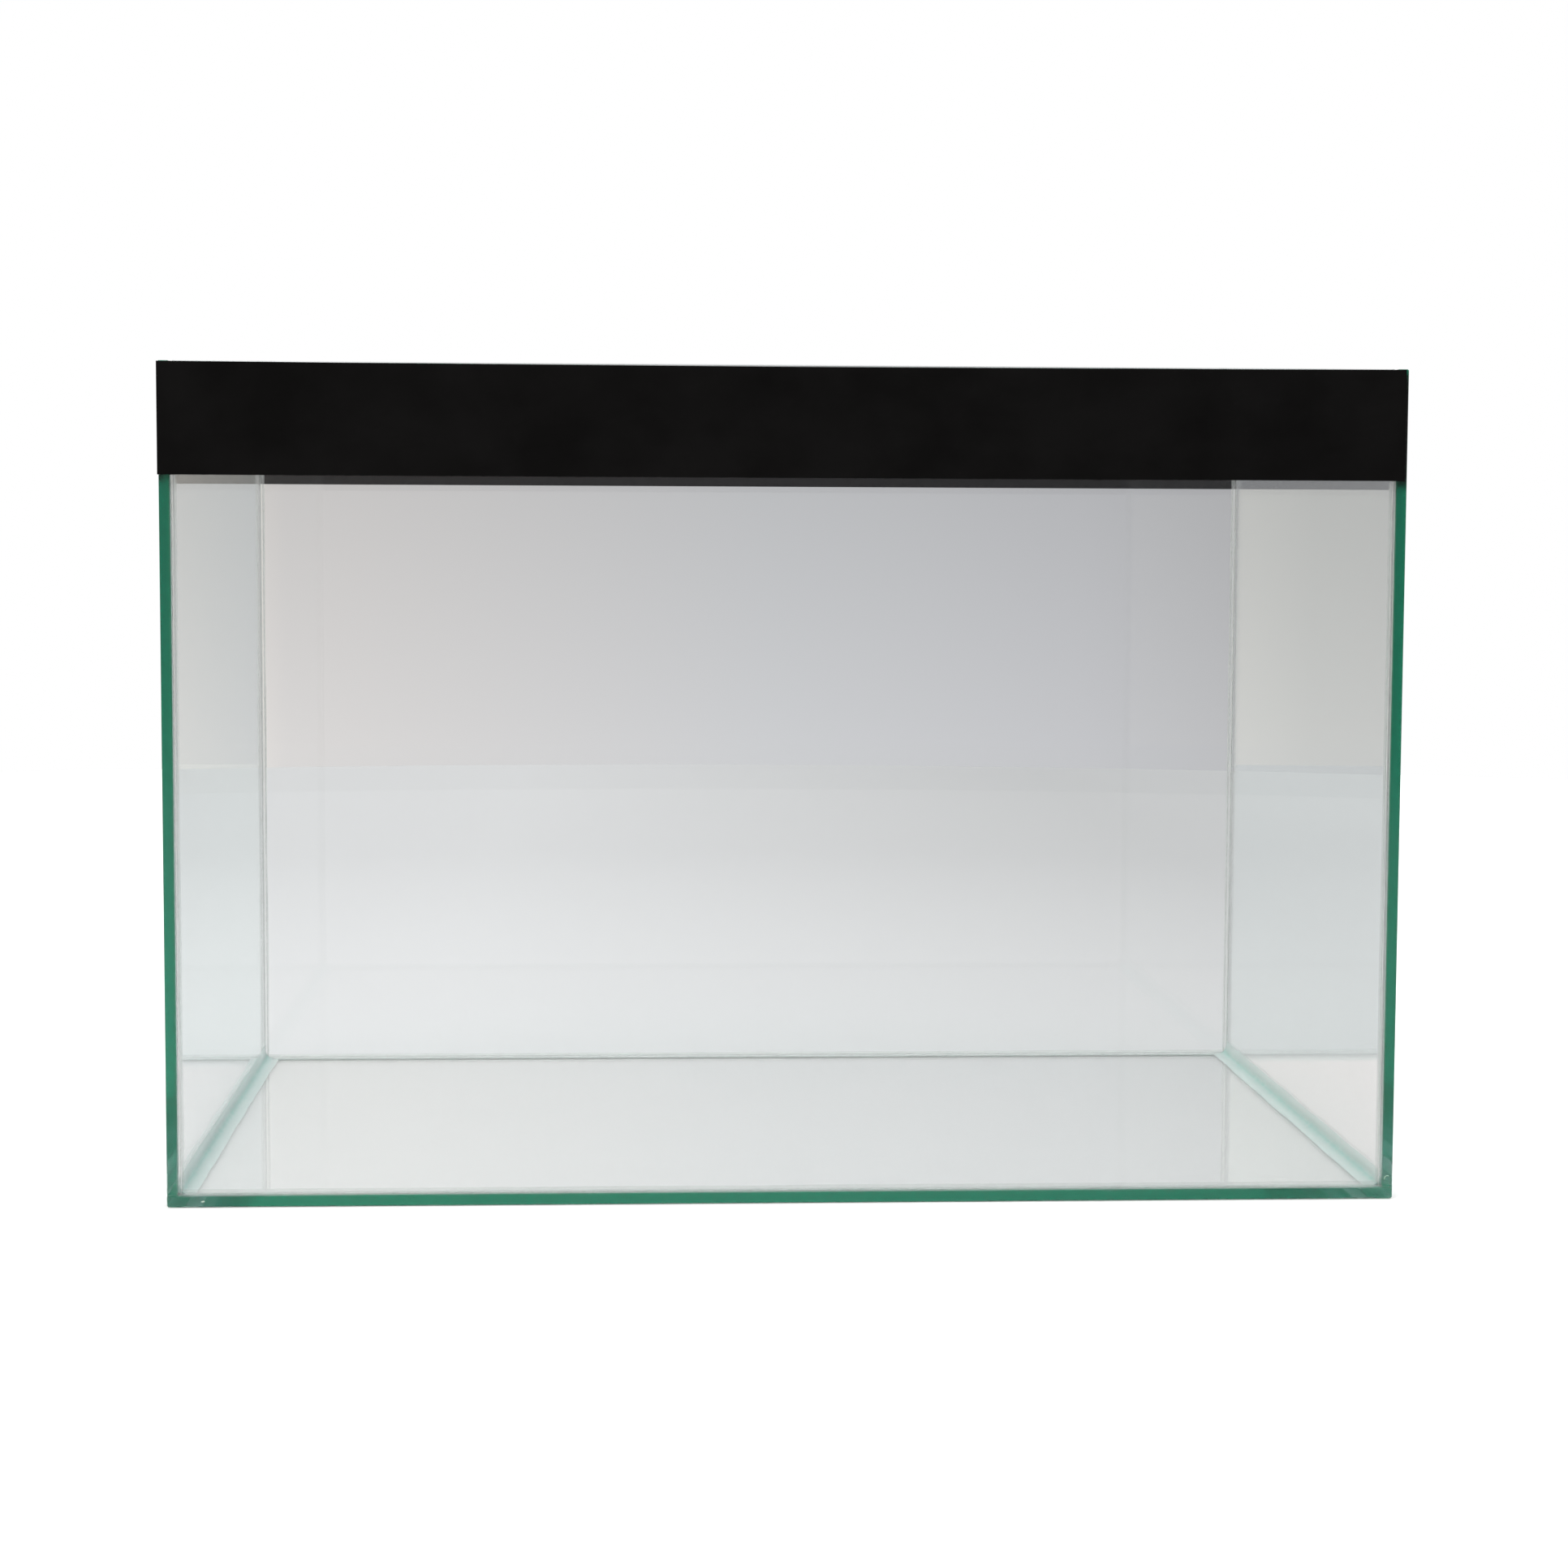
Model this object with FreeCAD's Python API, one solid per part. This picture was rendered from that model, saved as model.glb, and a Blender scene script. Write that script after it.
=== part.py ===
import FreeCAD, Part
import os

# Open-top glass aquarium tank: five float-glass panes bonded edge to edge with clear silicone.
#
# The base pane lies flat under everything. The left and right panes stand on it at full depth, and the
# front and rear panes stand between them. Every joint has two silicone parts: a thin structural bond
# between the two panes, and a coved bead run along the inside corner, heavy along the floor's two ends
# and slight elsewhere. A strip of black film is stuck along the top of the front face and the rear face.
#
# Frame, in millimetres: the origin is the middle of the tank's underside, +Z is up, +X runs along the
# length towards the right end, and -Y is the front.

# ---- driving dimensions -------------------------------------------------------------------------
TANK_LENGTH = 450.0  # outside, along X
TANK_WIDTH = 300.0  # outside, along Y, without the film
PANE_HEIGHT = 300.5  # of the four upright panes
GLASS = 4.0  # thickness of all five panes
ARRIS = 0.4  # ground chamfer on every edge of every pane
BASE_BOND = 0.5  # silicone thickness under the four upright panes, which squeeze it thin
CORNER_BOND = 1.0  # silicone thickness at each end of the front and rear panes

END_BEAD_LEG = 6.0  # inside bead along the floor at the left and right panes, measured up each face
LONG_BEAD_LEG = 2.0  # inside bead along the floor at the front and rear panes
CORNER_BEAD_LEG = 2.0  # inside bead up each corner
COVE_DEPTH = 0.31  # where the cove's middle lies, as a share of the leg from the corner

FILM_THICKNESS = 0.3
FILM_HEIGHT = 40.2  # of the strip at its two ends
FILM_END_REVEAL = 0.2  # bare glass above the strip at its two ends
FILM_MID_REVEAL = 0.7  # bare glass above the strip at mid-length, where the cut edge bows down
FILM_OVERHANG = 0.4  # how far the strip passes the glass at the left-hand end of each face
FILM_SHORT_END = 0.9  # bare glass beside the strip at the right-hand end of each face

# ---- levels and faces worked out from them ------------------------------------------------------
HALF_LENGTH = TANK_LENGTH / 2
HALF_WIDTH = TANK_WIDTH / 2
INNER_X = HALF_LENGTH - GLASS  # inside faces of the left and right panes
INNER_Y = HALF_WIDTH - GLASS  # inside faces of the front and rear panes
PANE_EDGE_X = INNER_X - CORNER_BOND  # side edges of the front and rear panes
PANE_FOOT = GLASS + BASE_BOND
RIM = PANE_FOOT + PANE_HEIGHT

SIDES = {"left": -1, "right": 1}
FACES = {"front": -1, "rear": 1}

OUT_DIR = "parts"


def box(x, y, z):
    """A box from three (low, high) pairs, given in any order."""
    low, high = zip(*(sorted(pair) for pair in (x, y, z)))
    size = [b - a for a, b in zip(low, high)]
    return Part.makeBox(*size, FreeCAD.Vector(*low))


def pane(x, y, z):
    """A sheet of glass with every edge arrised."""
    sheet = box(x, y, z)
    return sheet.makeChamfer(ARRIS, sheet.Edges)


def cove_face(leg, corner, u, v):
    """The section of an inside bead: a corner, legs along u and v, and a concave arc between their ends."""
    end_u = corner + u * leg
    end_v = corner + v * leg
    middle = corner + (u + v) * (leg * COVE_DEPTH)
    edges = [
        Part.LineSegment(corner, end_u).toShape(),
        Part.Arc(end_u, middle, end_v).toShape(),
        Part.LineSegment(end_v, corner).toShape(),
    ]
    return Part.Face(Part.Wire(edges))


def without(solid, *others):
    """solid less the others, as one clean solid."""
    left = solid.cut(list(others)).removeSplitter()
    if len(left.Solids) != 1:
        raise ValueError(f"expected one solid, and found {len(left.Solids)}")
    return left.Solids[0]


# ---- glass --------------------------------------------------------------------------------------
def glass_panes():
    upright = (PANE_FOOT, RIM)
    panes = {"base_pane": pane((-HALF_LENGTH, HALF_LENGTH), (-HALF_WIDTH, HALF_WIDTH), (0, GLASS))}
    for side, sx in SIDES.items():
        panes[f"{side}_pane"] = pane((sx * INNER_X, sx * HALF_LENGTH), (-HALF_WIDTH, HALF_WIDTH), upright)
    for face, sy in FACES.items():
        panes[f"{face}_pane"] = pane((-PANE_EDGE_X, PANE_EDGE_X), (sy * INNER_Y, sy * HALF_WIDTH), upright)
    return panes


# ---- silicone bonds between the panes -----------------------------------------------------------
def base_bonds(panes):
    """The layer under each upright pane. It also fills the arris grooves, flush with the faces."""
    layer = (GLASS - ARRIS, PANE_FOOT + ARRIS)
    bonds = {}
    for side, sx in SIDES.items():
        space = box((sx * INNER_X, sx * HALF_LENGTH), (-HALF_WIDTH, HALF_WIDTH), layer)
        bonds[f"base_{side}_bond"] = without(space, panes["base_pane"], panes[f"{side}_pane"])
    for face, sy in FACES.items():
        space = box((-INNER_X, INNER_X), (sy * INNER_Y, sy * HALF_WIDTH), layer)
        bonds[f"base_{face}_bond"] = without(space, panes["base_pane"], panes[f"{face}_pane"])
    return bonds


def corner_bonds(panes, below):
    """The layer between each side pane and the end of the front or rear pane."""
    bonds = {}
    for face, sy in FACES.items():
        for side, sx in SIDES.items():
            space = box(
                (sx * (PANE_EDGE_X - ARRIS), sx * (INNER_X + ARRIS)),
                (sy * INNER_Y, sy * HALF_WIDTH),
                (PANE_FOOT, RIM - ARRIS),
            )
            around = [panes[f"{face}_pane"], panes[f"{side}_pane"]]
            around += [below[f"base_{face}_bond"], below[f"base_{side}_bond"]]
            bonds[f"{face}_{side}_bond"] = without(space, *around)
    return bonds


# ---- silicone beads in the inside corners -------------------------------------------------------
def bead(leg, start, u, v, run):
    """A coved bead from the corner start, with its legs along u and v, carried along the vector run."""
    return cove_face(leg, start, u, v).extrude(run)


def base_beads():
    """The floor's beads. The heavy ones at the ends run full width, and the slight ones butt against them."""
    up = FreeCAD.Vector(0, 0, 1)
    beads = {}
    for side, sx in SIDES.items():
        start = FreeCAD.Vector(sx * INNER_X, -INNER_Y, GLASS)
        run = FreeCAD.Vector(0, 2 * INNER_Y, 0)
        beads[f"base_{side}_bead"] = bead(END_BEAD_LEG, start, FreeCAD.Vector(-sx, 0, 0), up, run)
    ends = list(beads.values())
    for face, sy in FACES.items():
        start = FreeCAD.Vector(-INNER_X, sy * INNER_Y, GLASS)
        run = FreeCAD.Vector(2 * INNER_X, 0, 0)
        full = bead(LONG_BEAD_LEG, start, FreeCAD.Vector(0, -sy, 0), up, run)
        beads[f"base_{face}_bead"] = without(full, *ends)
    return beads


def corner_beads(below):
    """A slight bead up each inside corner, standing on the two floor beads that meet there."""
    beads = {}
    for face, sy in FACES.items():
        for side, sx in SIDES.items():
            foot = FreeCAD.Vector(sx * INNER_X, sy * INNER_Y, GLASS)
            run = FreeCAD.Vector(0, 0, RIM - ARRIS - GLASS)
            full = bead(CORNER_BEAD_LEG, foot, FreeCAD.Vector(-sx, 0, 0), FreeCAD.Vector(0, -sy, 0), run)
            floor_beads = [below[f"base_{face}_bead"], below[f"base_{side}_bead"]]
            beads[f"{face}_{side}_bead"] = without(full, *floor_beads)
    return beads


# ---- black film ---------------------------------------------------------------------------------
def film_bands():
    """The strip on each long face. Seen from outside, it overhangs on the left and stops short on the right."""
    top_end = RIM - FILM_END_REVEAL
    top_middle = RIM - FILM_MID_REVEAL
    bottom = top_end - FILM_HEIGHT
    bands = {}
    for face, sy in FACES.items():
        left = sy * (HALF_LENGTH + FILM_OVERHANG)
        right = -sy * (HALF_LENGTH - FILM_SHORT_END)
        y = sy * HALF_WIDTH
        corners = [
            FreeCAD.Vector(left, y, bottom),
            FreeCAD.Vector(right, y, bottom),
            FreeCAD.Vector(right, y, top_end),
            FreeCAD.Vector(left, y, top_end),
        ]
        bow = FreeCAD.Vector((left + right) / 2, y, top_middle)
        edges = [
            Part.LineSegment(corners[0], corners[1]).toShape(),
            Part.LineSegment(corners[1], corners[2]).toShape(),
            Part.Arc(corners[2], bow, corners[3]).toShape(),
            Part.LineSegment(corners[3], corners[0]).toShape(),
        ]
        strip = Part.Face(Part.Wire(edges))
        bands[f"{face}_band"] = strip.extrude(FreeCAD.Vector(0, sy * FILM_THICKNESS, 0))
    return bands


def main():
    panes = glass_panes()
    floor_bonds = base_bonds(panes)
    floor_beads = base_beads()
    nodes = {
        **panes,
        **floor_bonds,
        **corner_bonds(panes, floor_bonds),
        **floor_beads,
        **corner_beads(floor_beads),
        **film_bands(),
    }
    os.makedirs(OUT_DIR, exist_ok=True)
    for name, shape in nodes.items():
        if not shape.isValid():
            raise ValueError(f"{name} is not a valid solid")
        shape.exportStep(os.path.join(OUT_DIR, f"{name}.step"))
        extent = shape.BoundBox
        print(
            f"{name}: {len(shape.Solids)} solid, {shape.Volume / 1000:.3f} cm3, "
            f"{extent.XLength:.2f} x {extent.YLength:.2f} x {extent.ZLength:.2f} mm"
        )


main()
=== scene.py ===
import math
import random

import bmesh
import bpy
from mathutils import Matrix, Vector, noise


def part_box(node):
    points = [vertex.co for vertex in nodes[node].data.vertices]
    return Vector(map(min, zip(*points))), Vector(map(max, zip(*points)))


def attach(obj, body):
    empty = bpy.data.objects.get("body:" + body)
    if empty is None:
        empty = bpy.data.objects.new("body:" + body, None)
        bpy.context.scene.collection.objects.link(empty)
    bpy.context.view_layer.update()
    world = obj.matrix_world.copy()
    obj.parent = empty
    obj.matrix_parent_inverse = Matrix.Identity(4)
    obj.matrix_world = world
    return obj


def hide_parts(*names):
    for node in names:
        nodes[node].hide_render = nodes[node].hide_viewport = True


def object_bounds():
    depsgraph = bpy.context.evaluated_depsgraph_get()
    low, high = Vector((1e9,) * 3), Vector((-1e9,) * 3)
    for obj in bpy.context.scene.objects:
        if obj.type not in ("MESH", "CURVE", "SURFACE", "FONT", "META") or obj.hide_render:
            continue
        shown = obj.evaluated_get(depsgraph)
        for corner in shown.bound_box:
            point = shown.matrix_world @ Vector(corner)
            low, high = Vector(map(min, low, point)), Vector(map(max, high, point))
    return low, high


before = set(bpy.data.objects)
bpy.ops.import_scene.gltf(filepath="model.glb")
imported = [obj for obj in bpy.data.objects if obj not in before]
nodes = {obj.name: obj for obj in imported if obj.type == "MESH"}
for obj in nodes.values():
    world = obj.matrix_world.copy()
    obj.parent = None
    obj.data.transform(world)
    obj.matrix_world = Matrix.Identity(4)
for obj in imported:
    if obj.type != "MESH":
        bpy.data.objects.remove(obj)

# Looks for the open-top glass aquarium. The five CAD panes and the two strips of film keep their shapes and
# get new materials. Every silicone bond and bead is replaced by a hand-tooled one, which sinks a hair's
# breadth into the glass so that light passes between the two as it does where they are wetted together.

cad_low, cad_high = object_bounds()
MM = 0.001

# ---- places and sizes, all read from the frame ----------------------------------------------------
base_low, base_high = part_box("base_pane")
side_low, side_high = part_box("right_pane")
rear_low, rear_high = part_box("rear_pane")
HALF_LENGTH = side_high.x
HALF_WIDTH = side_high.y
INNER_X = side_low.x  # inside face of the right pane
INNER_Y = rear_low.y  # inside face of the rear pane
PANE_EDGE_X = rear_high.x  # side edge of the rear pane
FLOOR_Z = base_high.z  # top of the base pane
FOOT_Z = side_low.z  # lower edge of every upright pane
RIM_Z = side_high.z
GLASS = FLOOR_Z - base_low.z
BASE_BOND = FOOT_Z - FLOOR_Z
CORNER_BOND = INNER_X - PANE_EDGE_X
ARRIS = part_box("base_left_bond")[1].z - FOOT_Z
END_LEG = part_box("base_left_bead")[1].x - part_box("base_left_bead")[0].x
LONG_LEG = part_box("base_front_bead")[1].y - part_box("base_front_bead")[0].y
CORNER_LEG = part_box("front_left_bead")[1].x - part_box("front_left_bead")[0].x

SIDES = {"left": -1, "right": 1}
FACES = {"front": -1, "rear": 1}
X = Vector((1, 0, 0))
Y = Vector((0, 1, 0))
Z = Vector((0, 0, 1))


# ---- materials ------------------------------------------------------------------------------------
class Nodes:
    """A node tree, with short ways to add and link nodes."""

    def __init__(self, tree):
        self.tree = tree
        self.tree.nodes.clear()

    def add(self, kind, **settings):
        node = self.tree.nodes.new(kind)
        for key, value in settings.items():
            setattr(node, key, value)
        return node

    def link(self, source, target):
        self.tree.links.new(source, target)

    def feed(self, node, **inputs):
        """Sets a node's inputs, each to a number, a colour or another node's output."""
        for key, value in inputs.items():
            socket = node.inputs[key.replace("_", " ")]
            if isinstance(value, bpy.types.NodeSocket):
                self.link(value, socket)
            else:
                socket.default_value = value
        return node

    def noise(self, scale, detail=2.0, stretch=(1, 1, 1), coordinates="Object"):
        """Noise from 0 to 1, in features per metre of the row frame."""
        place = self.add("ShaderNodeTexCoord")
        mapping = self.feed(self.add("ShaderNodeMapping"), Vector=place.outputs[coordinates], Scale=stretch)
        texture = self.add("ShaderNodeTexNoise")
        self.feed(texture, Vector=mapping.outputs["Vector"], Scale=scale, Detail=detail)
        return texture.outputs["Fac"]

    def remap(self, source, low, high, start=0.0, stop=1.0):
        """source from start..stop to low..high, clamped."""
        node = self.add("ShaderNodeMapRange")
        self.feed(node, Value=source, From_Min=start, From_Max=stop, To_Min=low, To_Max=high)
        return node.outputs["Result"]

    def blend(self, share, first, second):
        """The mix of two colours."""
        node = self.add("ShaderNodeMix", data_type="RGBA")
        sockets = [item for item in node.inputs if item.enabled]
        for socket, value in zip(sockets, (share, first, second)):
            if isinstance(value, bpy.types.NodeSocket):
                self.link(value, socket)
            else:
                socket.default_value = value
        return next(item for item in node.outputs if item.enabled)

    def ramp(self, share, *stops):
        """A colour ramp from (position, grey or colour) stops."""
        node = self.feed(self.add("ShaderNodeValToRGB"), Fac=share)
        elements = node.color_ramp.elements
        while len(elements) < len(stops):
            elements.new(0.5)
        for element, (position, color) in zip(elements, stops):
            element.position = position
            element.color = (*color, 1)
        return node.outputs["Color"]

    def math(self, operation, first, second=0.0):
        node = self.add("ShaderNodeMath", operation=operation)
        for socket, term in zip(node.inputs, (first, second)):
            if isinstance(term, bpy.types.NodeSocket):
                self.link(term, socket)
            else:
                socket.default_value = term
        return node.outputs["Value"]


class Material(Nodes):
    """A material with one surface shader."""

    def __init__(self, name):
        self.material = bpy.data.materials.new(name)
        self.material.use_nodes = True
        super().__init__(self.material.node_tree)
        self.output = self.add("ShaderNodeOutputMaterial")
        self.surface = self.add("ShaderNodeBsdfPrincipled")
        self.link(self.surface.outputs["BSDF"], self.output.inputs["Surface"])

    def look(self, **inputs):
        self.feed(self.surface, **inputs)

    def bump(self, height, distance):
        """Bump on the surface: a height of 0 to 1 is distance metres."""
        node = self.feed(self.add("ShaderNodeBump"), Strength=1.0, Distance=distance, Height=height)
        self.look(Normal=node.outputs["Normal"])

    def absorb(self, per_metre):
        """Absorption inside the solid, in inverse metres for red, green and blue."""
        density = 2 * max(per_metre)
        clarity = [1 - a / density for a in per_metre]
        volume = self.feed(self.add("ShaderNodeVolumeAbsorption"), Color=(*clarity, 1), Density=density)
        self.link(volume.outputs["Volume"], self.output.inputs["Volume"])


GROUND = "ground"  # face attribute: 1 on the cut edges of a pane, 0 on its polished faces
DEPTH = "depth"  # vertex attribute: 0 where silicone is a thin film and 1 at the heart of a bead
POLISHED = 0.99  # a face is polished if its normal has more than this along its pane's thin axis
GLASS_IOR = 1.52
GLASS_ABSORPTION = (14.5, 4.3, 6.2)  # per metre, for red, green and blue
SILICONE_IOR = 1.41
SILICONE_ABSORPTION = (7.0, 3.0, 3.5)
NOISE_SPAN = (0.3, 0.7)  # most noise values lie in here


def float_glass():
    """Clear float glass, green through its length, with smoothed edges and faintly wiped faces."""
    m = Material("float_glass")
    ground = m.add("ShaderNodeAttribute", attribute_name=GROUND).outputs["Fac"]
    wipes = m.remap(m.noise(9, 4, stretch=(1, 1, 0.35)), 0.0, 0.012, 0.45, 0.8)
    grind = m.remap(m.noise(900, 3), 0.09, 0.16, *NOISE_SPAN)
    rough = m.math("MAXIMUM", wipes, m.math("MULTIPLY", grind, ground))
    m.look(Base_Color=(1, 1, 1, 1), IOR=GLASS_IOR, Transmission_Weight=1.0, Roughness=rough)
    m.bump(m.math("MULTIPLY", m.noise(2600, 2), ground), 0.002 * MM)
    m.absorb(GLASS_ABSORPTION)
    return m.material


def clear_silicone(name, ior, clarity, thin, thick):
    """Cured clear sealant, a little milky, with its tint as a thin film and its tint at a bead's heart. A
    teal heart tint is partly painted light: it stands in for green light that leaves the panes through the
    bead.
    """
    m = Material(name)
    depth = m.add("ShaderNodeAttribute", attribute_name=DEPTH).outputs["Fac"]
    uneven = m.math("MULTIPLY", depth, m.remap(m.noise(260, 3), 0.8, 1.2, 0.35, 0.7))
    m.look(Base_Color=m.blend(uneven, (*thin, 1), (*thick, 1)))
    m.look(IOR=ior, Specular_IOR_Level=0.1, Transmission_Weight=clarity)
    m.look(Roughness=m.remap(m.noise(700, 2), 0.15, 0.22, *NOISE_SPAN))
    m.bump(m.noise(300, 2), 0.001 * MM)
    m.absorb(SILICONE_ABSORPTION)
    return m.material


def dried_silicone():
    """A crumb of sealant cured on the outside: milky, with a dusty skin."""
    m = Material("dried_silicone")
    tint = m.blend(m.noise(1400, 3), (0.80, 0.86, 0.74, 1), (0.62, 0.74, 0.66, 1))
    m.look(Base_Color=tint, IOR=SILICONE_IOR, Transmission_Weight=0.25)
    m.look(Roughness=m.remap(m.noise(1800, 2), 0.3, 0.5))
    m.bump(m.noise(3000, 2), 0.02 * MM)
    return m.material


def black_film():
    """Opaque black vinyl film: low gloss, with a fine calendered grain and faint handling marks."""
    m = Material("black_film")
    marks = m.remap(m.noise(35, 4), 0, 1, 0.35, 0.65)
    tint = m.blend(marks, (0.0034, 0.0034, 0.0032, 1), (0.0056, 0.0056, 0.0054, 1))
    m.look(Base_Color=tint, Specular_IOR_Level=0.06)
    m.look(Roughness=m.remap(m.noise(60, 5, stretch=(1, 1, 2.5)), 0.30, 0.44, *NOISE_SPAN))
    m.bump(m.noise(1500, 2), 0.006 * MM)
    return m.material


def dress(node, material):
    """Gives a CAD node a better material."""
    mesh = nodes[node].data
    mesh.materials.clear()
    mesh.materials.append(material)


def mark_ground_faces(node):
    """Marks the faces of a pane that look along its sheet, which are its cut edges and arrises."""
    low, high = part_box(node)
    thin_axis = min(range(3), key=lambda i: (high - low)[i])
    mesh = nodes[node].data
    mark = mesh.attributes.new(GROUND, "FLOAT", "FACE")
    for face in mesh.polygons:
        mark.data[face.index].value = 0.0 if abs(face.normal[thin_axis]) > POLISHED else 1.0


glass = float_glass()
# Only the heavy floor beads, which are tooled, refract as silicone does. Bonds and slight beads hardly show.
bonded = clear_silicone(
    "bonded_silicone", ior=1.515, clarity=0.98, thin=(0.985, 0.998, 0.995), thick=(0.96, 0.99, 0.985))
smeared = clear_silicone(
    "smeared_silicone", ior=1.12, clarity=0.85, thin=(0.97, 0.975, 0.965), thick=(0.93, 0.94, 0.93))
# tooled beads: teal at the heart, partly the sealant's milky tint and partly painted light, for the green
# light that leaves the panes through them
tooled = clear_silicone(
    "tooled_silicone", ior=SILICONE_IOR, clarity=0.6, thin=(0.86, 0.925, 0.915), thick=(0.50, 0.80, 0.74))
for pane in ("base_pane", "left_pane", "right_pane", "front_pane", "rear_pane"):
    mark_ground_faces(pane)
    dress(pane, glass)
film = black_film()
for band in ("front_band", "rear_band"):
    dress(band, film)


# ---- silicone -------------------------------------------------------------------------------------
WET = 0.03 * MM  # how far silicone sinks into the glass, so that no air is left between them
TUCK = 0.06 * MM  # how far one bead's end sinks into the bead that it meets
STATION = 2.0 * MM  # spacing of a seam's sections
LIP = 0.02 * MM  # thickness of a bead where it feathers out on the glass
COVE_POINTS = 15  # points across a bead's hollow face
HEAVY_POWER = 0.45  # a cove is a superellipse: 1 is a flat chamfer, and less hugs the corner more closely
SLIGHT_POWER = 0.35
HEART = 0.2  # a bead counts as thick where it covers this share of its leg
CAP_RINGS = 5  # rings that close each end of a slight bead, shrinking towards its corner
SMOOTH_ANGLE = math.radians(40)
LEG_WANDERS = ((0.05, 38 * MM), (0.01, 12 * MM))  # each a share of a cove's leg, and its wavelength
POWER_WANDER = (0.06, 25 * MM)  # the same for the power of a cove
HOLLOW_WANDER = (0.5, 22 * MM)  # and for the hollow of a bond
REACH_WANDER = (0.2, 16 * MM)  # and for a bond's reach, in arrises
SEED_STEP = 17.3  # these two keep one seam's noise apart from the next one's
NOISE_ROW = 4.1
BUBBLE_DEPTHS = (0.09, 0.13)  # of small bubbles from the corner, in legs
BUBBLE_PLACES = (0.04, 0.96)  # along a seam, as shares of its length
BUBBLE_RADII = (0.02, 0.04)  # in legs
LARGE_BUBBLE = {"depth": 0.75 * MM, "share": 0.83, "radius": 0.48 * MM}  # in the right-hand floor bead
RIM_TAPER = 0.5  # how far a corner bead's top end drops for each unit across it
BOND_HOLLOW = 0.01 * MM  # mean hollow of a bond's outer face
BOND_REACH = 0.75  # share of the arris grooves beside it that a bond fills, on average
BOND_END = 0.15 * MM  # how far the bonds under the end panes stop short of the panes' ends


def seed_of(name):
    return sum(ord(letter) for letter in name)


def wander(seed, distance, size, wavelength):
    """Smooth noise along a seam, about -size to size."""
    return size * (2 * noise.noise(Vector((distance / wavelength, SEED_STEP * seed, NOISE_ROW))))


class Cove:
    """The section of a coved bead whose corner is (0, 0). Its legs and its hollow wander along the run."""

    def __init__(self, name, leg, power):
        self.seed = seed_of(name)
        self.leg = leg
        self.power = power

    def shape(self, distance):
        """Its two legs and the power of its superellipse."""
        legs = []
        for seed in (self.seed, self.seed + 1):
            change = sum(wander(seed, distance, *term) for term in LEG_WANDERS)
            legs.append(self.leg * (1 + change))
        return legs, self.power * (1 + wander(self.seed + 2, distance, *POWER_WANDER))

    def outline(self, distance):
        legs, power = self.shape(distance)
        points = [(-WET, -WET), (legs[0], -WET)]
        for i in range(COVE_POINTS):
            angle = math.pi / 2 * i / (COVE_POINTS - 1)
            shares = math.cos(angle) ** (2 / power), math.sin(angle) ** (2 / power)
            points.append(tuple(LIP + (leg - LIP) * share for leg, share in zip(legs, shares)))
        points.append((-WET, legs[1]))
        return points

    def stand_off(self, reach, distance, leg=0):
        """How far the surface stands off leg 0 or 1 of the corner, at a reach along that leg."""
        legs, power = self.shape(distance)
        share = max(0.0, reach - LIP) / (legs[leg] - LIP)
        if share >= 1:
            return 0.0
        return LIP + (legs[1 - leg] - LIP) * (1 - share ** power) ** (1 / power)


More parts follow.
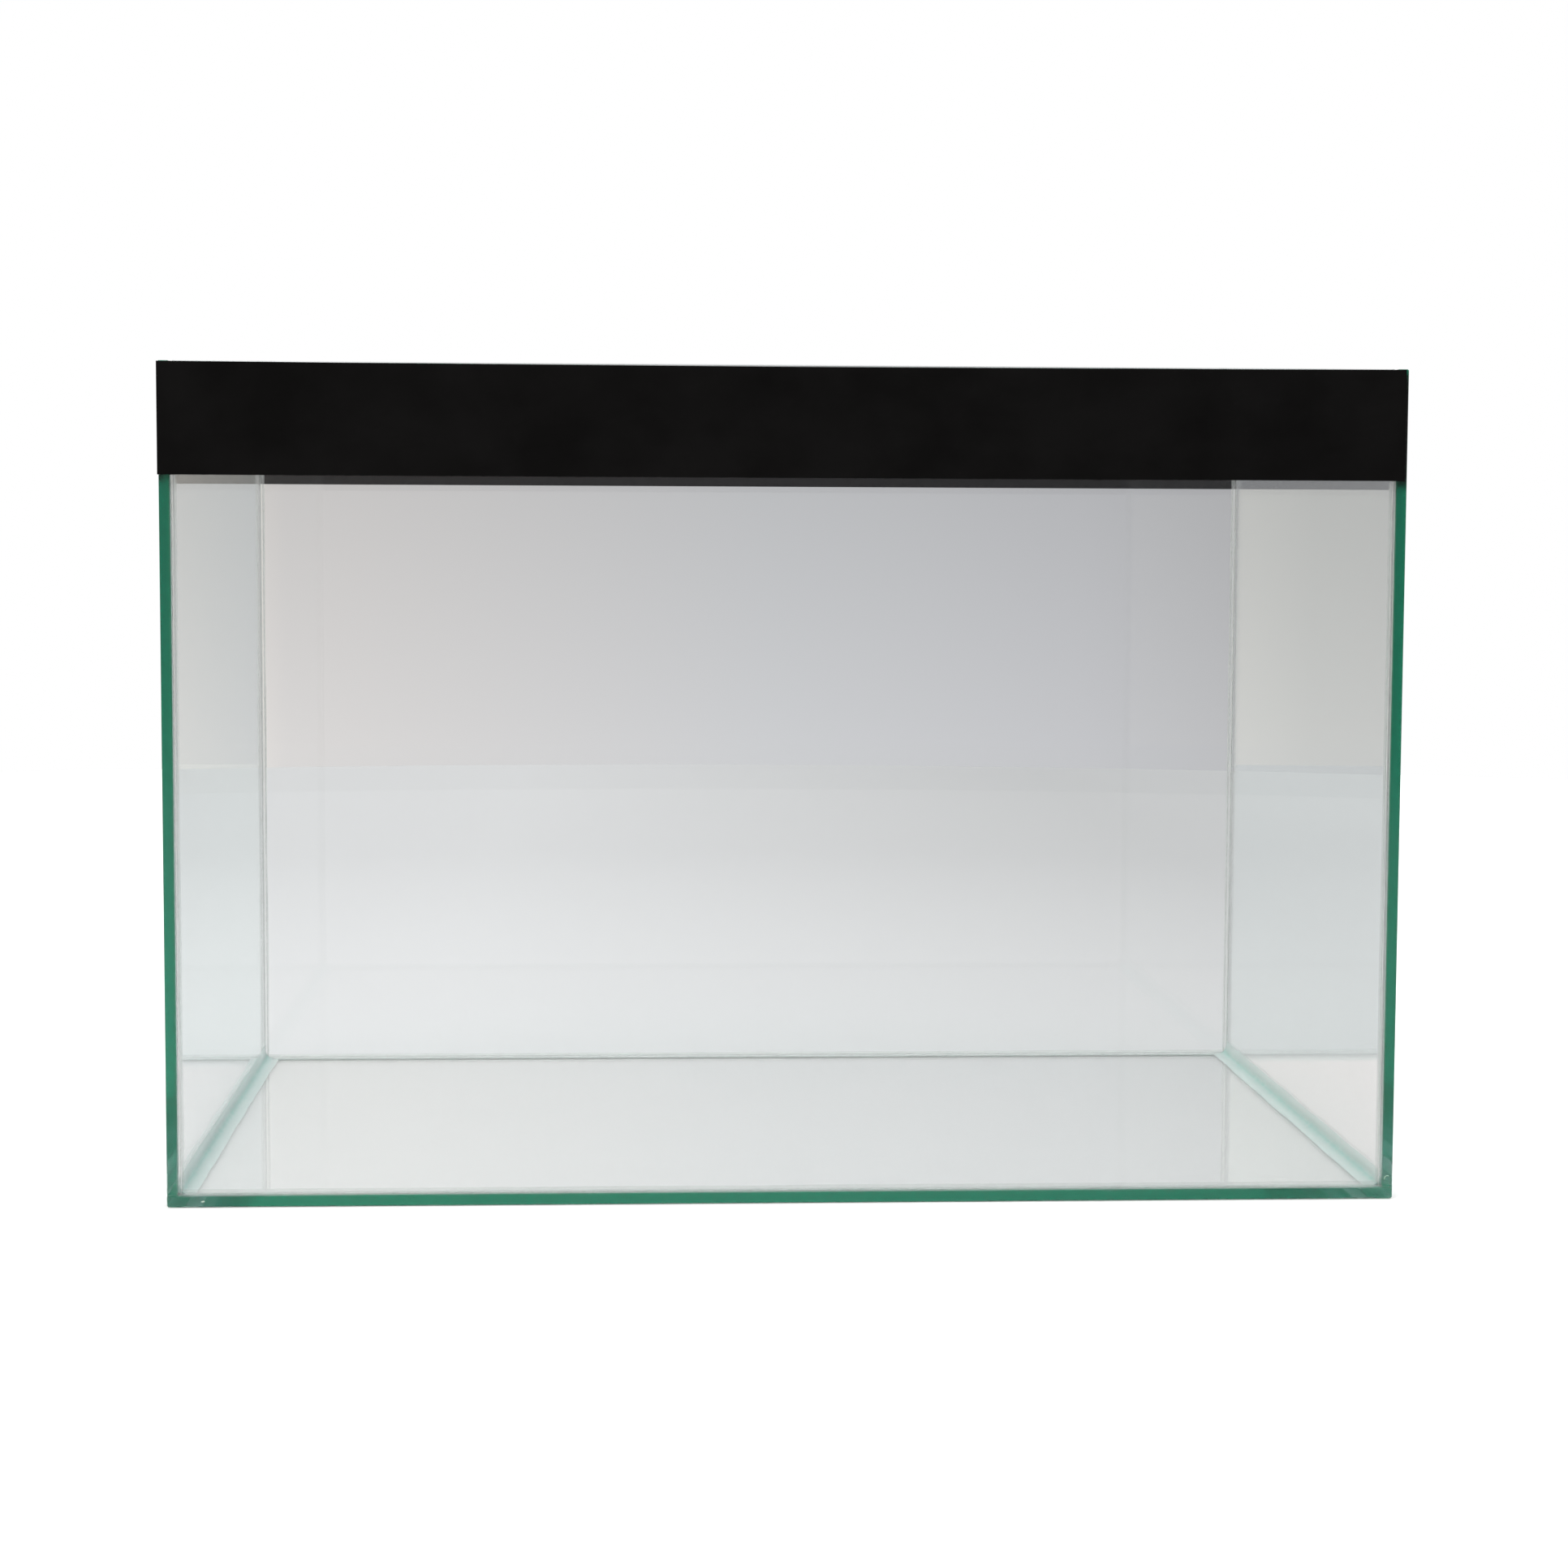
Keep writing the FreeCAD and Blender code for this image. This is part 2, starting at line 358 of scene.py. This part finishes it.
class Seam:
    """A run of silicone: a section in the plane of u and v, carried along a third direction.

    Where the section's point (u, v) starts and stops along the run is given by two functions, so that an end
    can follow the seam that it stands on. Its heart is the thickness that counts as thick.
    """

    def __init__(self, name, origin, u, v, along, start, stop, heart):
        self.name = name
        self.origin = origin
        self.u = u
        self.v = v
        self.along = along
        self.start = start
        self.stop = stop
        self.heart = heart
        self.mesh = bmesh.new()
        self.depth = self.mesh.verts.layers.float.new(DEPTH)

    def point(self, u, v, share):
        begin = self.start(u, v)
        distance = begin + share * (self.stop(u, v) - begin)
        return self.origin + self.u * u + self.v * v + self.along * distance

    def ring(self, section, share, scale=1.0):
        """A ring of vertices, each of which knows how much silicone lies under it."""
        vertices = []
        for u, v in section:
            vertex = self.mesh.verts.new(self.point(scale * u, scale * v, share))
            vertex[self.depth] = min(1.0, max(0.0, min(u, v)) / self.heart)
            vertices.append(vertex)
        return vertices

    def bridge(self, ring, following):
        for i in range(len(ring)):
            j = (i + 1) % len(ring)
            self.mesh.faces.new((ring[i], ring[j], following[j], following[i]))

    def sweep(self, outline, cap_rings=0):
        """outline(distance) is the section, as a closed list of (u, v) points.

        Each end is closed through rings that shrink towards (0, 0), so that it keeps to start or stop.
        """
        length = self.stop(0, 0) - self.start(0, 0)
        count = max(2, round(length / STATION))
        sections = [outline(self.start(0, 0) + length * step / count) for step in range(count + 1)]
        rings = [self.ring(section, step / count) for step, section in enumerate(sections)]
        for inset in range(1, cap_rings + 1):
            scale = 1 - inset / (cap_rings + 1)
            rings.insert(0, self.ring(sections[0], 0, scale))
            rings.append(self.ring(sections[-1], 1, scale))
        for ring, following in zip(rings, rings[1:]):
            self.bridge(ring, following)
        self.mesh.faces.new(rings[0])
        self.mesh.faces.new(reversed(rings[-1]))
        bmesh.ops.recalc_face_normals(self.mesh, faces=self.mesh.faces)

    def bubble(self, depth, share, radius, stretch=1.6):
        """A pocket of air, drawn out along the seam. Its surface faces inwards."""
        size = Vector((radius, radius, radius)) + Vector(map(abs, self.along)) * radius * (stretch - 1)
        place = Matrix.Translation(self.point(depth, depth, share)) @ Matrix.Diagonal((*size, 1))
        made = bmesh.ops.create_icosphere(self.mesh, subdivisions=2, radius=1, matrix=place)
        faces = {face for vert in made["verts"] for face in vert.link_faces}
        bmesh.ops.reverse_faces(self.mesh, faces=list(faces))

    def bubbles(self, leg, count):
        """A few small pockets of air at random places near the corner of a bead."""
        draw = random.Random(seed_of(self.name))
        for _ in range(count):
            depth = leg * draw.uniform(*BUBBLE_DEPTHS)
            share = draw.uniform(*BUBBLE_PLACES)
            self.bubble(depth, share, leg * draw.uniform(*BUBBLE_RADII))

    def finish(self, node, material):
        """Makes the piece, in place of the CAD node."""
        data = bpy.data.meshes.new(self.name)
        self.mesh.to_mesh(data)
        self.mesh.free()
        for face in data.polygons:
            face.use_smooth = True
        data.set_sharp_from_angle(angle=SMOOTH_ANGLE)
        data.materials.append(material)
        piece = bpy.data.objects.new(self.name, data)
        bpy.context.scene.collection.objects.link(piece)
        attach(piece, "root")
        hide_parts(node)


floor_coves = {side: Cove(f"floor_seal_{side}", END_LEG, HEAVY_POWER) for side in SIDES}
floor_coves.update({face: Cove(f"floor_seal_{face}", LONG_LEG, SLIGHT_POWER) for face in FACES})


def end_floor_beads():
    """The two heavy beads, which run the full width between the front and rear panes."""
    for side, sx in SIDES.items():
        corner = Vector((sx * INNER_X, 0, FLOOR_Z))
        seam = Seam(f"floor_seal_{side}", corner, -sx * X, Z, Y,
                    start=lambda u, v: -INNER_Y - WET,
                    stop=lambda u, v: INNER_Y + WET,
                    heart=HEART * END_LEG)
        seam.sweep(floor_coves[side].outline)
        seam.bubbles(END_LEG, 7)
        if side == "right":
            seam.bubble(**LARGE_BUBBLE)
        seam.finish(f"base_{side}_bead", tooled)


def long_floor_beads():
    """The two slight beads, whose ends follow the surfaces of the heavy ones."""
    for face, sy in FACES.items():

        def gap(side, u, v, sy=sy):
            """From an end pane's inside face to the heavy bead's surface."""
            return floor_coves[side].stand_off(v, sy * (INNER_Y - u), leg=1)

        corner = Vector((0, sy * INNER_Y, FLOOR_Z))
        seam = Seam(f"floor_seal_{face}", corner, -sy * Y, Z, X,
                    start=lambda u, v: gap("left", u, v) - INNER_X - TUCK,
                    stop=lambda u, v: INNER_X - gap("right", u, v) + TUCK,
                    heart=HEART * LONG_LEG)
        seam.sweep(floor_coves[face].outline, CAP_RINGS)
        seam.bubbles(LONG_LEG, 9)
        seam.finish(f"base_{face}_bead", smeared)


def corner_beads():
    """The upright beads. Each stands on the surfaces of two floor beads and thins out just under the rim."""
    for face, sy in FACES.items():
        for side, sx in SIDES.items():

            def rise(u, v, face=face, side=side, sx=sx, sy=sy):
                """Height of the floor beads' surfaces above the floor."""
                end = floor_coves[side].stand_off(u, sy * (INNER_Y - v))
                return max(end, floor_coves[face].stand_off(v, sx * (INNER_X - u)))

            name = f"corner_seal_{face}_{side}"
            corner = Vector((sx * INNER_X, sy * INNER_Y, 0))
            seam = Seam(name, corner, -sx * X, -sy * Y, Z,
                        start=lambda u, v: FLOOR_Z + rise(u, v) - TUCK,
                        stop=lambda u, v: RIM_Z - ARRIS - RIM_TAPER * (max(u, 0) + max(v, 0)),
                        heart=HEART * CORNER_LEG)
            seam.sweep(Cove(name, CORNER_LEG, SLIGHT_POWER).outline, CAP_RINGS)
            seam.bubbles(CORNER_LEG, 5)
            seam.finish(f"{face}_{side}_bead", smeared)


def bond_outline(name, thickness):
    """The section of a bond: u crosses it from a pane's edge to another pane's face, and v runs outwards.

    It fills the arris grooves, and its outer surface is wiped slightly hollow.
    """
    seed = seed_of(name)

    def outline(distance):
        hollow = BOND_HOLLOW * (1 + wander(seed, distance, *HOLLOW_WANDER))
        reach = ARRIS * (BOND_REACH + wander(seed + 1, distance, *REACH_WANDER))
        outer = GLASS - (ARRIS - reach)
        return [
            (-ARRIS - WET, -WET),
            (-WET, ARRIS),
            (-WET, GLASS - ARRIS),
            (-reach - WET, outer),
            (thickness * 0.25, outer - hollow),
            (thickness * 0.75, outer - hollow),
            (thickness + reach + WET, outer),
            (thickness + WET, GLASS - ARRIS),
            (thickness + WET, -WET),
        ]

    return outline


def base_bonds():
    """The bonds under the four upright panes."""
    for side, sx in SIDES.items():
        name = f"joint_base_{side}"
        inner = Vector((sx * INNER_X, 0, FOOT_Z))
        seam = Seam(name, inner, -Z, sx * X, Y,
                    start=lambda u, v: BOND_END - HALF_WIDTH,
                    stop=lambda u, v: HALF_WIDTH - BOND_END,
                    heart=BASE_BOND)
        seam.sweep(bond_outline(name, BASE_BOND))
        seam.finish(f"base_{side}_bond", bonded)
    for face, sy in FACES.items():
        name = f"joint_base_{face}"
        inner = Vector((0, sy * INNER_Y, FOOT_Z))
        seam = Seam(name, inner, -Z, sy * Y, X,
                    start=lambda u, v: -INNER_X - WET,
                    stop=lambda u, v: INNER_X + WET,
                    heart=BASE_BOND)
        seam.sweep(bond_outline(name, BASE_BOND))
        seam.finish(f"base_{face}_bond", bonded)


def corner_bonds():
    """The bonds between the end panes and the front and rear ones."""
    for face, sy in FACES.items():
        for side, sx in SIDES.items():
            name = f"joint_{face}_{side}"
            inner = Vector((sx * PANE_EDGE_X, sy * INNER_Y, 0))
            seam = Seam(name, inner, sx * X, sy * Y, Z,
                        start=lambda u, v: FOOT_Z - WET,
                        stop=lambda u, v: RIM_Z - ARRIS,
                        heart=CORNER_BOND)
            seam.sweep(bond_outline(name, CORNER_BOND))
            seam.finish(f"{face}_{side}_bond", bonded)


end_floor_beads()
long_floor_beads()
corner_beads()
base_bonds()
corner_bonds()


# ---- crumbs of cured silicone left on the front edges ---------------------------------------------
def finish_crumb(piece):
    """Puts a crumb on the object, in its own material."""
    bpy.context.scene.collection.objects.link(piece)
    piece.data.materials.append(crumb_skin)
    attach(piece, "root")


def silicone_dab():
    """A flat drop on the front edge of the base pane, near its left end."""
    place = Vector((-212.0 * MM, -HALF_WIDTH, 1.95 * MM))
    size = Vector((0.75, 0.2, 0.3)) * MM
    tilt = 0.15
    mesh = bmesh.new()
    bmesh.ops.create_icosphere(mesh, subdivisions=3, radius=1)
    for vertex in mesh.verts:
        lump = 1 + 0.35 * noise.noise(vertex.co * 1.3)
        vertex.co = place + vertex.co * size * lump
        vertex.co.z += tilt * (vertex.co.x - place.x)
    for face in mesh.faces:
        face.smooth = True
    data = bpy.data.meshes.new("silicone_dab")
    mesh.to_mesh(data)
    mesh.free()
    finish_crumb(bpy.data.objects.new("silicone_dab", data))


def silicone_curl():
    """A fine curl that stands off the front edge of the right pane, near its foot."""
    centre = Vector((223.0 * MM, -HALF_WIDTH - 0.1 * MM, 7.4 * MM))
    radius = 1.1 * MM
    thread_radius = 0.13 * MM
    turn = [math.radians(angle) for angle in (195, 160, 125, 90, 60)]
    data = bpy.data.curves.new("silicone_curl", "CURVE")
    data.dimensions = "3D"
    data.bevel_depth = thread_radius
    data.bevel_resolution = 3
    data.use_fill_caps = True
    line = data.splines.new("NURBS")
    line.points.add(len(turn) - 1)
    for point, angle in zip(line.points, turn):
        point.co = (*(centre + radius * Vector((math.cos(angle), 0, math.sin(angle)))), 1)
    line.order_u = 3
    line.use_endpoint_u = True
    finish_crumb(bpy.data.objects.new("silicone_curl", data))


crumb_skin = dried_silicone()
silicone_dab()
silicone_curl()

# ---- stage ----------------------------------------------------------------------------------------
# The camera sees a white floor and a white background. The glass shows a soft grey room and a pale floor,
# with painted light and shade on it: lighter under the tank, darker away from it and towards +X.
STAGE_RADIUS = 1.95
STAGE_GAP = 0.3 * MM  # air under the base pane
SEEN_FLOOR = (0.95, 0.95, 0.95)  # the floor's colour where the camera sees it bare
WHITE = (1, 1, 1)
BLACK = (0, 0, 0)
UNDER_TANK_PAINTED_LIGHT = (0.82, 0.697, 0.717)  # painted light: the floor is painted lighter under the tank, as the glass shows it, to make up for light that the glass keeps from it
SIDE_GLOW = 80 * MM  # and this far beyond the end panes
GLOW_FADE = (0.98, 1.04)  # where UNDER_TANK_PAINTED_LIGHT gives way to the floor around it, in shares of the tank's outline
NEAR_FLOOR_PAINTED_FALLOFF = (0.635, 0.602, 0.617)  # painted falloff of light: the floor's colour around the tank, out to NEAR_REACH, lighter than further out
FAR_FLOOR_PAINTED_FALLOFF = (0.535, 0.507, 0.52)  # and from FAR_REACH outwards
NEAR_REACH = 0.3
FAR_REACH = 1.1
PAINTED_SHADE_SPAN = (-0.15, 0.36)  # painted shade: the floor is painted darker from the first of these places along X to the second, where the light falls off to the right
PAINTED_SHADE_MOST = 0.19
ROOM_REACH = 0.25
ROOM_SIDES = (  # radiance of the room at eye level, by the sideways part of the direction, up to ROOM_REACH
    (-0.22, (0.74, 0.66, 0.635)),
    (-0.14, (0.95, 0.82, 0.77)),
    (-0.10, (0.71, 0.637, 0.638)),
    (0.05, (0.615, 0.575, 0.60)),
    (0.15, (0.57, 0.531, 0.56)),
    (0.22, (0.505, 0.467, 0.488)),
)
ROOM_HIGH = (2.2, 2.2, 2.2)  # overhead
HIGH_SPAN = (0.1, 1.0)  # upward parts of the direction over which eye level gives way to overhead
PATCHES = (0.97, 1.03)  # least and most strength of the room's soft patches
SIDE_STRENGTH = (1.08, 0.84)  # its strength on the left and on the right
SIDE_SPAN = (-0.3, 1)
HORIZON_STRENGTH = (1.12, 0.92)  # its strength below and above the horizon
HORIZON_SPAN = (-0.07, 0.01)
MIRRORED_STRENGTH = 0.4  # strength of the room where a surface mirrors it


def stage_floor():
    """A pale round floor, white where the camera sees it bare. Where the glass shows it, it has painted light
    and shade: lighter under the tank, darker away from it and towards +X.
    """
    mesh = bmesh.new()
    bmesh.ops.create_circle(mesh, cap_ends=True, segments=96, radius=STAGE_RADIUS)
    data = bpy.data.meshes.new("stage_floor")
    mesh.to_mesh(data)
    mesh.free()
    floor = bpy.data.objects.new("stage_floor", data)
    floor.location.z = cad_low.z - STAGE_GAP
    bpy.context.scene.collection.objects.link(floor)
    m = Material("stage_floor")
    place = m.add("ShaderNodeTexCoord").outputs["Object"]
    split = m.feed(m.add("ShaderNodeSeparateXYZ"), Vector=place).outputs
    across = m.math("DIVIDE", m.math("ABSOLUTE", split["X"]), HALF_LENGTH + SIDE_GLOW)
    back = m.math("DIVIDE", m.math("ABSOLUTE", split["Y"]), HALF_WIDTH)
    # mask of the painted light under the tank
    around = m.remap(m.math("MAXIMUM", across, back), 0, 1, *GLOW_FADE)
    reach = m.add("ShaderNodeVectorMath", operation="LENGTH")
    m.link(place, reach.inputs[0])
    away = m.remap(reach.outputs["Value"], 0, 1, NEAR_REACH, FAR_REACH)
    # painted falloff of light: the floor is painted darker away from the tank
    bare = m.blend(away, (*NEAR_FLOOR_PAINTED_FALLOFF, 1), (*FAR_FLOOR_PAINTED_FALLOFF, 1))
    # painted shade, darker towards +X
    shade = m.remap(split["X"], 0.0, PAINTED_SHADE_MOST, *PAINTED_SHADE_SPAN)
    paint = m.blend(shade, m.blend(around, (*UNDER_TANK_PAINTED_LIGHT, 1), bare), (*BLACK, 1))
    seen = m.add("ShaderNodeLightPath").outputs["Is Camera Ray"]
    m.look(Base_Color=m.blend(seen, paint, (*SEEN_FLOOR, 1)), Roughness=0.9, Specular_IOR_Level=0.1)
    data.materials.append(m.material)


def studio_world():
    """White behind the object for the camera, and a soft grey room for what the glass shows or reflects."""
    world = bpy.data.worlds.new("studio")
    bpy.context.scene.world = world
    world.use_nodes = True
    w = Nodes(world.node_tree)
    split = w.add("ShaderNodeSeparateXYZ")
    w.link(w.add("ShaderNodeTexCoord").outputs["Generated"], split.inputs[0])
    across = w.remap(split.outputs["X"], 0, 1, -ROOM_REACH, ROOM_REACH)
    low = w.ramp(across, *[(0.5 + 0.5 * x / ROOM_REACH, color) for x, color in ROOM_SIDES])
    room = w.blend(w.remap(split.outputs["Z"], 0, 1, *HIGH_SPAN), low, (*ROOM_HIGH, 1))
    patch = w.remap(w.noise(3.0, 1.0, coordinates="Generated"), *PATCHES, *NOISE_SPAN)
    strength = w.math("MULTIPLY", patch, w.remap(split.outputs["X"], *SIDE_STRENGTH, *SIDE_SPAN))
    strength = w.math("MULTIPLY", strength, w.remap(split.outputs["Z"], *HORIZON_STRENGTH, *HORIZON_SPAN))
    ray = w.add("ShaderNodeLightPath").outputs
    mirrored = w.math("MULTIPLY", ray["Is Glossy Ray"], ray["Is Reflection Ray"])
    dim = w.remap(mirrored, 1.0, MIRRORED_STRENGTH)
    lit = w.feed(w.add("ShaderNodeBackground"), Color=room, Strength=w.math("MULTIPLY", strength, dim))
    white = w.feed(w.add("ShaderNodeBackground"), Color=(*WHITE, 1))
    mix = w.feed(w.add("ShaderNodeMixShader"), Fac=ray["Is Camera Ray"])
    w.link(lit.outputs["Background"], mix.inputs[1])
    w.link(white.outputs["Background"], mix.inputs[2])
    w.link(mix.outputs["Shader"], w.add("ShaderNodeOutputWorld").inputs["Surface"])


stage_floor()
studio_world()

# ---- camera ---------------------------------------------------------------------------------------
CAMERA_PLACE = (-0.0658, -1.2902, 0.2490)
CAMERA_YAW = 3.228  # degrees, towards +X
CAMERA_PITCH = -4.752  # degrees, negative is down
CAMERA_ROLL = 0.264  # degrees
CAMERA_LENS = 72.54  # mm
SENSOR_WIDTH = 36  # mm

camera = bpy.data.objects.new("camera", bpy.data.cameras.new("camera"))
camera.data.sensor_width = SENSOR_WIDTH
camera.data.lens = CAMERA_LENS
camera.data.clip_start = 0.01
camera.matrix_world = (
    Matrix.Translation(CAMERA_PLACE)
    @ Matrix.Rotation(math.radians(-CAMERA_YAW), 4, "Z")
    @ Matrix.Rotation(math.radians(90 + CAMERA_PITCH), 4, "X")
    @ Matrix.Rotation(math.radians(CAMERA_ROLL), 4, "Z")
)
bpy.context.scene.collection.objects.link(camera)
bpy.context.scene.camera = camera

# ---- render settings that the glass needs ---------------------------------------------------------
scene = bpy.context.scene
scene.view_settings.view_transform = "Standard"
BOUNCES = 40  # the green of the edges is light that has been reflected many times inside the panes
scene.cycles.max_bounces = BOUNCES
scene.cycles.transmission_bounces = BOUNCES
scene.cycles.glossy_bounces = BOUNCES
scene.cycles.transparent_max_bounces = BOUNCES
scene.cycles.blur_glossy = 0.0  # keeps the light that reaches the floor through the glass
scene.cycles.use_denoising = True
